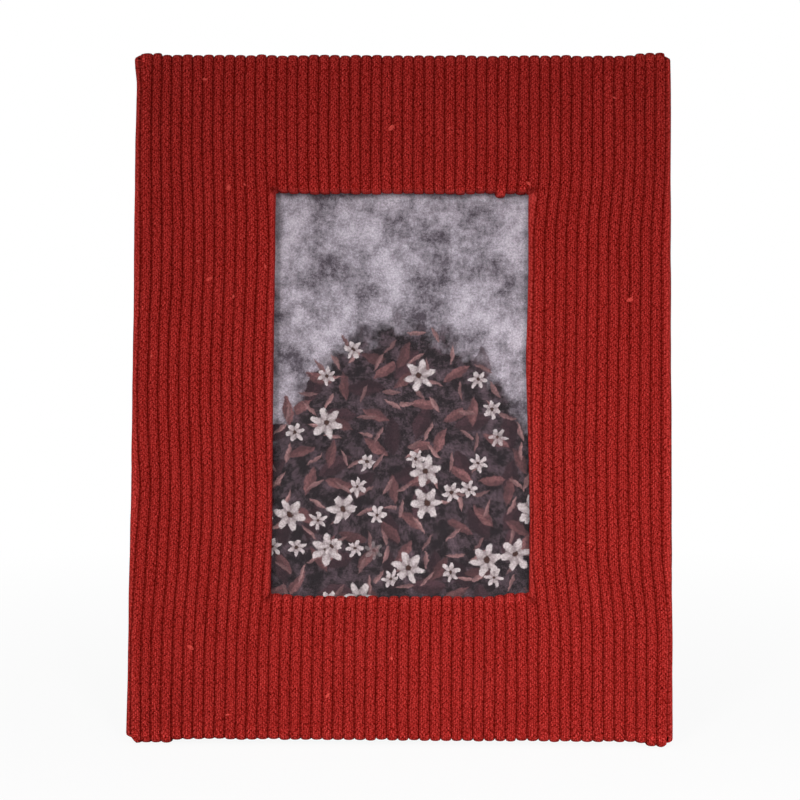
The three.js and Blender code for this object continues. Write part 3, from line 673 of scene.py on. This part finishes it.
# Glass pane
# A pane of clear float glass, cut to the size of the picture. It lies in the rebate against the turned-in
# cloth, and the sheets behind it hold it there.
clear_glass, glass_tree, glass_shader = new_finish(
    "clear_glass", Base_Color=(0.97, 0.99, 0.98, 1), Roughness=0.0, IOR=1.45, Transmission_Weight=1.0)
glass_rays = add_node(glass_tree, "ShaderNodeLightPath").outputs
lets_light_in = sums(glass_tree, "MAXIMUM", glass_rays["Is Shadow Ray"], glass_rays["Is Diffuse Ray"])
no_glass = add_node(glass_tree, "ShaderNodeBsdfTransparent")
glass_mix = add_node(glass_tree, "ShaderNodeMixShader", {
    0: lets_light_in, 1: glass_shader.outputs[0], 2: no_glass.outputs[0]})
glass_tree.links.new(glass_mix.outputs[0], glass_tree.nodes["Material Output"].inputs["Surface"])
finish_nodes(clear_glass, "glass_pane")

# Picture and filler card
# A picture printed on paper, with a grey card behind it that presses it flat against the glass. The picture
# is a plain still life: a heap of pale flowers among dark leaves, in front of a mottled wall.
heap_top = 0.026  # above the middle of the picture
heap_fall = 20.0  # how steeply the heap falls away, by the square of the distance across
brush_wander = 0.0022
wall_dark = (0.062, 0.047, 0.062, 1)
wall_pale = (0.46, 0.405, 0.468, 1)
moss_dark = (0.008, 0.004, 0.006, 1)
moss_pale = (0.11, 0.07, 0.088, 1)
petal_shade = (0.1, 0.06, 0.068, 1)
petal_white = (0.62, 0.54, 0.55, 1)
flower_eye = (0.04, 0.015, 0.012, 1)
picture, ink, picture_shader = new_finish("picture_print", Roughness=0.6, Specular_IOR_Level=0.05)
upright = Matrix.Rotation(lean, 3, "X")
picture_shift = -(upright @ (stand @ Vector((0, 0, middle_height))))
ink_place = add_node(ink, "ShaderNodeMapping", {
    "Vector": add_node(ink, "ShaderNodeTexCoord").outputs["Object"],
    "Location": picture_shift, "Rotation": (lean, 0, 0)}).outputs["Vector"]
ink_axes = add_node(ink, "ShaderNodeSeparateXYZ", {"Vector": ink_place}).outputs
page = add_node(ink, "ShaderNodeCombineXYZ", {"X": ink_axes["X"], "Y": ink_axes["Z"]}).outputs["Vector"]


def ink_noise(scale, detail=6.0, roughness=0.6, output="Fac"):
    return add_node(ink, "ShaderNodeTexNoise", {
        "Vector": page, "Scale": scale, "Detail": detail, "Roughness": roughness},
        noise_dimensions="2D").outputs[output]


# The brush wanders a little, so no edge is drawn quite true
brush_way = add_node(ink, "ShaderNodeVectorMath", {
    0: ink_noise(260.0, 4.0, 0.6, "Color"), 1: (0.5, 0.5, 0.5)}, operation="SUBTRACT").outputs[0]
brush_slip = add_node(ink, "ShaderNodeVectorMath", {
    0: brush_way, "Scale": brush_wander}, operation="SCALE").outputs[0]
painted = add_node(ink, "ShaderNodeVectorMath", {0: page, 1: brush_slip}, operation="ADD").outputs[0]
brush_marks = spread(ink, ink_noise(420.0, 8.0, 0.75), 0.3, 0.7)


# How far a point lies under the top of the heap
def under_heap(place):
    axes = add_node(ink, "ShaderNodeSeparateXYZ", {"Vector": place}).outputs
    fall = sums(ink, "MULTIPLY", sums(ink, "MULTIPLY", axes["X"], axes["X"]), heap_fall)
    return sums(ink, "SUBTRACT", sums(ink, "SUBTRACT", heap_top, fall), axes["Y"])


# A loose scatter over the heap with one motif to each cell, turned any way, and a random value for each
def scatter(cells_per_metre, shift):
    layout = {"Location": (shift, shift, 0), "Scale": (cells_per_metre, cells_per_metre, 1)}
    place = add_node(ink, "ShaderNodeMapping", {"Vector": painted, **layout}).outputs["Vector"]
    cells = add_node(ink, "ShaderNodeTexVoronoi", {
        "Vector": place, "Scale": 1.0, "Randomness": 0.8}, voronoi_dimensions="2D").outputs
    picks = add_node(ink, "ShaderNodeSeparateColor", {"Color": cells["Color"]}).outputs
    local = add_node(ink, "ShaderNodeVectorMath", {0: place, 1: cells["Position"]}, operation="SUBTRACT")
    spun = add_node(ink, "ShaderNodeVectorRotate", {
        "Vector": local.outputs[0], "Angle": sums(ink, "MULTIPLY", picks["Red"], 2 * math.pi)},
        rotation_type="Z_AXIS").outputs[0]
    middle = add_node(ink, "ShaderNodeMapping", {
        "Vector": cells["Position"], **layout}, vector_type="TEXTURE").outputs["Vector"]
    axes = add_node(ink, "ShaderNodeSeparateXYZ", {"Vector": spun}).outputs
    return axes["X"], axes["Y"], picks["Green"], spread(ink, under_heap(middle), 0.0, 0.001)


# The wall is blotched like old plaster. The heap in front of it is dark and mossy
plaster = spread(ink, ink_noise(62.0, 12.0, 0.78), 0.36, 0.63)
drawing = mix_colours(ink, plaster, wall_dark, wall_pale)
heap_edge = sums(ink, "ADD", under_heap(page), sums(ink, "MULTIPLY", ink_noise(160.0), 0.02))
moss = spread(ink, ink_noise(190.0, 10.0, 0.76), 0.45, 0.74)
heap_colour = mix_colours(ink, moss, moss_dark, moss_pale)
drawing = mix_colours(ink, spread(ink, heap_edge, 0.008, 0.016), drawing, heap_colour)

# Leaves in three layers, with a fold down the middle of each
for cells_per_metre, leaf_width, dark_leaf, pale_leaf in (
    (66.0, 0.2, (0.012, 0.005, 0.008, 1), (0.06, 0.026, 0.034, 1)),
    (84.0, 0.16, (0.036, 0.014, 0.017, 1), (0.19, 0.08, 0.084, 1)),
    (120.0, 0.1, (0.085, 0.04, 0.044, 1), (0.31, 0.165, 0.165, 1)),
):
    leaf_x, leaf_y, leaf_pick, in_heap = scatter(cells_per_metre, cells_per_metre)
    leaf_taper = spread(ink, sums(ink, "MULTIPLY", leaf_y, leaf_y), 0.0, 0.2, leaf_width, 0.0)
    leaf_edge = sums(ink, "SUBTRACT", leaf_taper, sums(ink, "ABSOLUTE", leaf_x, 0.0))
    leaf_mask = sums(ink, "MULTIPLY", spread(ink, leaf_edge, 0.0, 0.04), in_heap)
    leaf_fold = spread(ink, leaf_x, -0.02, 0.02, 0.5, 1.0)
    leaf_tone = sums(ink, "MULTIPLY", spread(ink, leaf_pick, 0.0, 1.0, 0.2, 1.0), leaf_fold)
    leaf_tone = sums(ink, "MULTIPLY", leaf_tone, spread(ink, brush_marks, 0.0, 1.0, 0.4, 1.3))
    drawing = mix_colours(ink, leaf_mask, drawing, mix_colours(ink, leaf_tone, dark_leaf, pale_leaf))

# Flowers in two sizes, each with six petals round a dark eye
for cells_per_metre, picked_from in ((62.0, 0.5), (105.0, 0.66)):
    petal_x, petal_y, flower_pick, in_heap = scatter(cells_per_metre, 3.0)
    from_eye = sums(ink, "SQRT", sums(ink, "ADD", sums(ink, "MULTIPLY", petal_x, petal_x),
                                      sums(ink, "MULTIPLY", petal_y, petal_y)), 0.0)
    round_eye = sums(ink, "MULTIPLY", sums(ink, "ARCTAN2", petal_y, petal_x), 6.0)
    petal_wave = sums(ink, "COSINE", round_eye, 0.0)
    petal_edge = sums(ink, "SUBTRACT", spread(ink, petal_wave, -1.0, 1.0, 0.2, 0.36), from_eye)
    flower_mask = sums(ink, "MULTIPLY", spread(ink, petal_edge, 0.0, 0.04), in_heap)
    is_picked = spread(ink, flower_pick, picked_from, picked_from + 0.01)
    flower_mask = sums(ink, "MULTIPLY", flower_mask, is_picked)
    petal_tone = sums(ink, "MULTIPLY", spread(ink, petal_wave, -1.0, 0.6, 0.5, 1.0),
                      spread(ink, from_eye, 0.05, 0.3, 0.5, 1.0))
    petal_tone = sums(ink, "MULTIPLY", petal_tone, spread(ink, brush_marks, 0.0, 1.0, 0.6, 1.0))
    petals = mix_colours(ink, petal_tone, petal_shade, petal_white)
    petals = mix_colours(ink, spread(ink, from_eye, 0.05, 0.075, 1.0, 0.0), petals, flower_eye)
    drawing = mix_colours(ink, flower_mask, drawing, petals)

# The whole print has a fine grain
grain = spread(ink, ink_noise(1500.0, 2.0, 0.7), 0.3, 0.7, 0.75, 1.25)
grain_tone = add_node(ink, "ShaderNodeCombineColor", {"Red": grain, "Green": grain, "Blue": grain})
drawing = mix_colours(ink, 1.0, drawing, grain_tone.outputs["Color"], "MULTIPLY")
ink.links.new(drawing, picture_shader.inputs["Base Color"])
finish_nodes(picture, "photo_print")
grey_card = board_finish("grey_card", 1600.0, (0.36, 0.34, 0.3, 1), (0.56, 0.53, 0.47, 1), 0.3,
                         Roughness=0.9)
finish_nodes(grey_card, "filler_card")

# Backboard and easel strut
# Both are cut from thin fibreboard faced with black paper. The board closes the rebate, and the strut swings
# on a riveted hinge and stops against its own horns.
black_board = board_finish("black_board", 2300.0, (0.01, 0.01, 0.011, 1), (0.03, 0.03, 0.033, 1), 0.25,
                           Roughness=0.62)
finish_nodes(black_board, "backboard", "easel_strut")

# Turn buttons, screws, hinge and hanger
# Stamped steel, brass plated on the buttons and zinc plated on the rest. Each button turns on a screw in a
# rail, the hinge's leaves are riveted to the board and the strut, and a screw holds the strap of the ring.
brass_plate = plated_finish("brass_plate", (0.66, 0.45, 0.17, 1), (0.45, 0.29, 0.1, 1))
finish_nodes(brass_plate, *[f"turn_button_{number}" for number in range(1, 5)])
finish_nodes(zinc_plate, *[f"turn_button_screw_{number}" for number in range(1, 5)])
finish_nodes(zinc_plate, "board_leaf", "hinge_pin", "board_rivet_1", "board_rivet_2")
finish_nodes(zinc_plate, "strut_leaf", "strut_rivet_1", "strut_rivet_2")
finish_nodes(zinc_plate, "hanger_strap", "hanger_ring", "hanger_screw")

# Table and backdrop
# A wide pale table top, which keeps a faint shadow, under a plain white surround. The room behind the camera
# is dimmer, and that is what the glass mirrors.
table_half_width = 6.0
table_glow = 0.92  # the share of plain white in the table close to the frame
soft_strength = 0.16
room_dimming = 0.84
table_top, table_tree, table_shader = new_finish(
    "pale_table", Base_Color=(0.86, 0.86, 0.86, 1), Roughness=0.9)
table_rays = add_node(table_tree, "ShaderNodeLightPath").outputs
shown = sums(table_tree, "MAXIMUM", table_rays["Is Camera Ray"], table_rays["Is Glossy Ray"])
shown = sums(table_tree, "MAXIMUM", shown, table_rays["Is Transmission Ray"])
table_white = add_node(table_tree, "ShaderNodeEmission", {"Color": (1, 1, 1, 1), "Strength": 1.0})
table_place = add_node(table_tree, "ShaderNodeTexCoord").outputs["Object"]
from_frame = add_node(table_tree, "ShaderNodeVectorMath", {
    0: table_place}, operation="LENGTH").outputs["Value"]
white_share = sums(table_tree, "MULTIPLY", shown, spread(table_tree, from_frame, 0.1, 0.4, table_glow, 1.0))
table_mix = add_node(table_tree, "ShaderNodeMixShader", {
    0: white_share, 1: table_shader.outputs[0], 2: table_white.outputs[0]})
table_tree.links.new(table_mix.outputs[0], table_tree.nodes["Material Output"].inputs["Surface"])
table_mesh = bmesh.new()
bmesh.ops.create_grid(table_mesh, x_segments=8, y_segments=8, size=table_half_width)
table = add_piece("table_top", table_mesh, table_top)
surround = bpy.data.worlds.new("surround")
bpy.context.scene.world = surround
surround.use_nodes = True
sky_tree = surround.node_tree
sky_tree.nodes.clear()
sky_rays = add_node(sky_tree, "ShaderNodeLightPath").outputs
seen = sums(sky_tree, "MAXIMUM", sky_rays["Is Camera Ray"], sky_rays["Is Glossy Ray"])
seen = sums(sky_tree, "MAXIMUM", seen, sky_rays["Is Transmission Ray"])
soft_light = add_node(sky_tree, "ShaderNodeBackground", {"Color": (1, 1, 1, 1), "Strength": soft_strength})
sky_way = add_node(sky_tree, "ShaderNodeTexCoord").outputs["Generated"]
sky_ahead = add_node(sky_tree, "ShaderNodeSeparateXYZ", {"Vector": sky_way}).outputs["Y"]
behind_camera = spread(sky_tree, sky_ahead, -0.6, 0.0, room_dimming, 0.0)
dim_room = sums(sky_tree, "MULTIPLY", sky_rays["Is Glossy Ray"], behind_camera)
white_wall = add_node(sky_tree, "ShaderNodeBackground", {
    "Color": (1, 1, 1, 1), "Strength": sums(sky_tree, "SUBTRACT", 1.0, dim_room)})
sky_mix = add_node(sky_tree, "ShaderNodeMixShader", {
    0: seen, 1: soft_light.outputs[0], 2: white_wall.outputs[0]})
add_node(sky_tree, "ShaderNodeOutputWorld", {"Surface": sky_mix.outputs[0]})

# Lamps and camera
# Two soft lamps in front shine down on the lower half of the frame and two more stand at its sides, the
# right ones a little stronger. The camera looks at the middle of the frame, a little from the right and from
# just below square on.
frame_middle = stand @ Vector((0, 0, middle_height))
lamps = (
    ((-0.19, -0.75, 0.335), (-0.01, -0.035, 0.075), (0.12, 0.3), 56, 0.395),
    ((0.15, -0.75, 0.335), (0.085, -0.035, -0.045), (0.12, 0.3), 54, 0.44),
    ((-0.45, -0.1, 0.15), (0.05, -0.035, 0.03), (0.1, 0.2), 180, 0.42),
    ((0.45, -0.1, 0.03), (0.05, -0.035, -0.015), (0.1, 0.05), 180, 0.45),
)  # place, aim, size, spread in degrees and power of each
for lamp_place, lamp_aim, lamp_size, lamp_spread, lamp_power in lamps:
    lamp_data = bpy.data.lights.new("soft_lamp", "AREA")
    lamp_data.shape = "RECTANGLE"
    lamp_data.size, lamp_data.size_y = lamp_size
    lamp_data.spread = math.radians(lamp_spread)
    lamp_data.energy = lamp_power
    lamp = bpy.data.objects.new("soft_lamp", lamp_data)
    lamp.location = lamp_place
    lamp.rotation_mode = "QUATERNION"
    lamp.rotation_quaternion = (Vector(lamp_aim) - lamp.location).to_track_quat("-Z", "Y")
    bpy.context.scene.collection.objects.link(lamp)

view_azimuth = math.radians(1.4)
view_elevation = math.radians(6.136)
view_roll = math.radians(0.111)
view_distance = 1.0
view_back = Vector((math.sin(view_azimuth) * math.cos(view_elevation),
                    -math.cos(view_azimuth) * math.cos(view_elevation), math.sin(view_elevation)))
camera_data = bpy.data.cameras.new("camera")
camera_data.lens = 134.9
camera_data.shift_x = -0.0017
camera_data.shift_y = -0.0082
camera = bpy.data.objects.new("camera", camera_data)
camera.location = frame_middle + view_back * view_distance
camera.rotation_mode = "QUATERNION"
camera.rotation_quaternion = (-view_back).to_track_quat("-Z", "Y") @ Quaternion((0, 0, 1), view_roll)
bpy.context.scene.collection.objects.link(camera)
bpy.context.scene.camera = camera
bpy.context.scene.view_settings.view_transform = "Standard"
